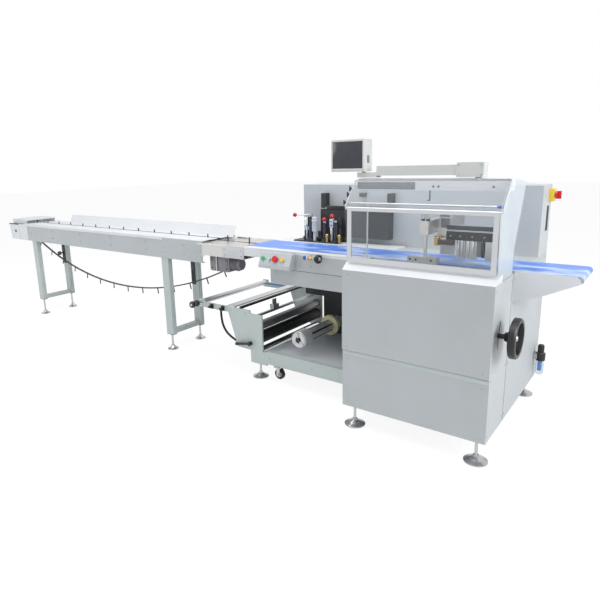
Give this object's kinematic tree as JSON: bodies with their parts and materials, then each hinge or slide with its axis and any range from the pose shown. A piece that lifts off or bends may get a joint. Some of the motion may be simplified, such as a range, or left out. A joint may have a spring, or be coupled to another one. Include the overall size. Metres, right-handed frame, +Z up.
{
  "type": "horizontal flow wrapper",
  "caption": "Horizontal flow wrapper: lug chain infeed, belt, film unwind with rollers, hooded end-seal station, cabinets, operator panel on a swing arm and a handwheel.",
  "frame": {"origin": "middle of the footprint, on the floor", "axes": "+X along the product's travel, -Y towards the operator, +Z up"},
  "size_m": [5.2319, 1.058, 1.556],
  "materials": {
    "frame_grey": "satin powder coat",
    "light_grey": "satin powder coat",
    "white_plate": "smooth paint",
    "steel": "brushed",
    "chrome": "polished",
    "aluminium": "turned",
    "dark_metal": "dark paint",
    "motor_grey": "rough cast paint",
    "black_plastic": "moulded",
    "black_rubber": "smooth rubber",
    "blue_belt": "smooth belt",
    "green": "gloss",
    "teal": "gloss",
    "red": "gloss",
    "yellow": "gloss",
    "core_yellow": "smooth",
    "clear_sheet": "polished acrylic",
    "filter": "moulded"
  },
  "bodies": {
    "body": {"infeed_rails": "frame_grey", "infeed_bed": "white_plate", "guide_plates": "white_plate", "tail_block": "light_grey", "infeed_legs": "frame_grey", "leg_plates": "dark_metal", "lug_chain": "steel", "transfer_trough": "steel", "chain_wheels": "steel", "gearmotor": "motor_grey", "belt": "blue_belt", "belt_bed": "steel", "middle_deck": "light_grey", "belt_tables": "white_plate", "button_box": "light_grey", "unwind_sides": "light_grey", "sensor_hose": "black_rubber", "cross_bars": "steel", "drive_boxes": "dark_metal", "base_frame": "light_grey", "levelling_feet": "chrome", "main_cabinet": "frame_grey", "front_ledge": "white_plate", "rear_cabinet": "light_grey", "hood_sheets": "clear_sheet", "top_beam": "light_grey", "stay_rod": "steel", "seal_frame": "light_grey", "seal_jaw": "steel", "fin_seal_unit": "steel", "outfeed_sides": "light_grey", "switch_plate": "yellow", "air_filter": "filter"},
    "door": {"door_frame": "white_plate", "door_sheet": "clear_sheet"},
    "arm": {"panel_arm": "light_grey"},
    "panel": {"panel_case": "light_grey"},
    "wheel": {"handwheel": "black_plastic"},
    "crank": {"hand_crank": "black_plastic"},
    "switch": {"switch_knob": "red"},
    "roller_outer": {"outer_roller": "aluminium"},
    "roller_grey": {"grey_roller": "aluminium"},
    "roller_black": {"black_roller": "black_rubber"},
    "roller_silver": {"silver_roller": "chrome"},
    "spindle": {"film_shaft": "aluminium", "core_ring": "core_yellow"},
    "fork": {"castor_fork": "steel"},
    "castor": {"castor_wheel": "black_rubber"},
    "clamp": {"clamp_lever": "black_plastic"},
    "lever_left": {"left_lever": "red"},
    "lever_middle": {"middle_lever": "red"},
    "lever_right": {"right_lever": "red"},
    "button_green": {"green_button": "green"},
    "button_pale": {"pale_button": "teal"},
    "button_stop": {"stop_button": "red"},
    "button_yellow": {"yellow_button": "yellow"}
  },
  "joints": [
    {"name": "door_hinge", "type": "hinge", "parent": "body", "child": "door", "pos_m": [1.934, -0.494, 1.214], "axis": [-1, 0, 0], "range_deg": [0, 110]},
    {"name": "arm_swing", "type": "hinge", "parent": "body", "child": "arm", "pos_m": [2.162, -0.341, 1.361], "axis": [0, 0, 1], "range_deg": [0, 90]},
    {"name": "panel_turn", "type": "hinge", "parent": "arm", "child": "panel", "pos_m": [1.569, -0.341, 1.392], "axis": [0, 0, 1], "range_deg": [-45, 45]},
    {"name": "handwheel_turn", "type": "hinge", "parent": "body", "child": "wheel", "pos_m": [2.392, -0.433, 0.645], "axis": [1, 0, 0], "continuous": true},
    {"name": "crank_turn", "type": "hinge", "parent": "body", "child": "crank", "pos_m": [1.263, -0.304, 0.887], "axis": [1, 0, 0], "continuous": true},
    {"name": "switch_turn", "type": "hinge", "parent": "body", "child": "switch", "pos_m": [2.353, 0.482, 1.23], "axis": [1, 0, 0], "range_deg": [0, 90]},
    {"name": "outer_roller_spin", "type": "hinge", "parent": "body", "child": "roller_outer", "pos_m": [0.234, 0.084, 0.48], "axis": [0, 1, 0], "continuous": true},
    {"name": "grey_roller_spin", "type": "hinge", "parent": "body", "child": "roller_grey", "pos_m": [0.742, 0.084, 0.376], "axis": [0, 1, 0], "continuous": true},
    {"name": "black_roller_spin", "type": "hinge", "parent": "body", "child": "roller_black", "pos_m": [0.74, 0.084, 0.291], "axis": [0, 1, 0], "continuous": true},
    {"name": "silver_roller_spin", "type": "hinge", "parent": "body", "child": "roller_silver", "pos_m": [0.754, 0.084, 0.208], "axis": [0, 1, 0], "continuous": true},
    {"name": "film_shaft_spin", "type": "hinge", "parent": "body", "child": "spindle", "pos_m": [1.066, 0.014, 0.335], "axis": [0, 1, 0], "continuous": true},
    {"name": "castor_swivel", "type": "hinge", "parent": "body", "child": "fork", "pos_m": [0.854, -0.206, 0.12], "axis": [0, 0, 1], "continuous": true},
    {"name": "castor_roll", "type": "hinge", "parent": "fork", "child": "castor", "pos_m": [0.87, -0.206, 0.041], "axis": [0, 1, 0], "continuous": true},
    {"name": "clamp_turn", "type": "hinge", "parent": "body", "child": "clamp", "pos_m": [0.689, -0.302, 0.25], "axis": [0, 1, 0], "range_deg": [-60, 60]},
    {"name": "left_lever_turn", "type": "hinge", "parent": "body", "child": "lever_left", "pos_m": [0.889, 0.166, 1.088], "axis": [0, 0, 1], "range_deg": [-30, 30]},
    {"name": "middle_lever_turn", "type": "hinge", "parent": "body", "child": "lever_middle", "pos_m": [1.004, 0.166, 1.044], "axis": [0, 0, 1], "range_deg": [-30, 30]},
    {"name": "right_lever_turn", "type": "hinge", "parent": "body", "child": "lever_right", "pos_m": [1.089, 0.166, 1.05], "axis": [0, 0, 1], "range_deg": [-30, 30]},
    {"name": "green_press", "type": "slide", "parent": "body", "child": "button_green", "axis": [0, 0.8944, -0.4472], "range_m": [0, 0.003], "stiffness_N_per_m": 400},
    {"name": "pale_press", "type": "slide", "parent": "body", "child": "button_pale", "axis": [0, 0.8944, -0.4472], "range_m": [0, 0.003], "stiffness_N_per_m": 400},
    {"name": "stop_press", "type": "slide", "parent": "body", "child": "button_stop", "axis": [0, 0.8944, -0.4472], "range_m": [0, 0.003], "stiffness_N_per_m": 400},
    {"name": "yellow_press", "type": "slide", "parent": "body", "child": "button_yellow", "axis": [0, 0.8944, -0.4472], "range_m": [0, 0.003], "stiffness_N_per_m": 400}
  ]
}
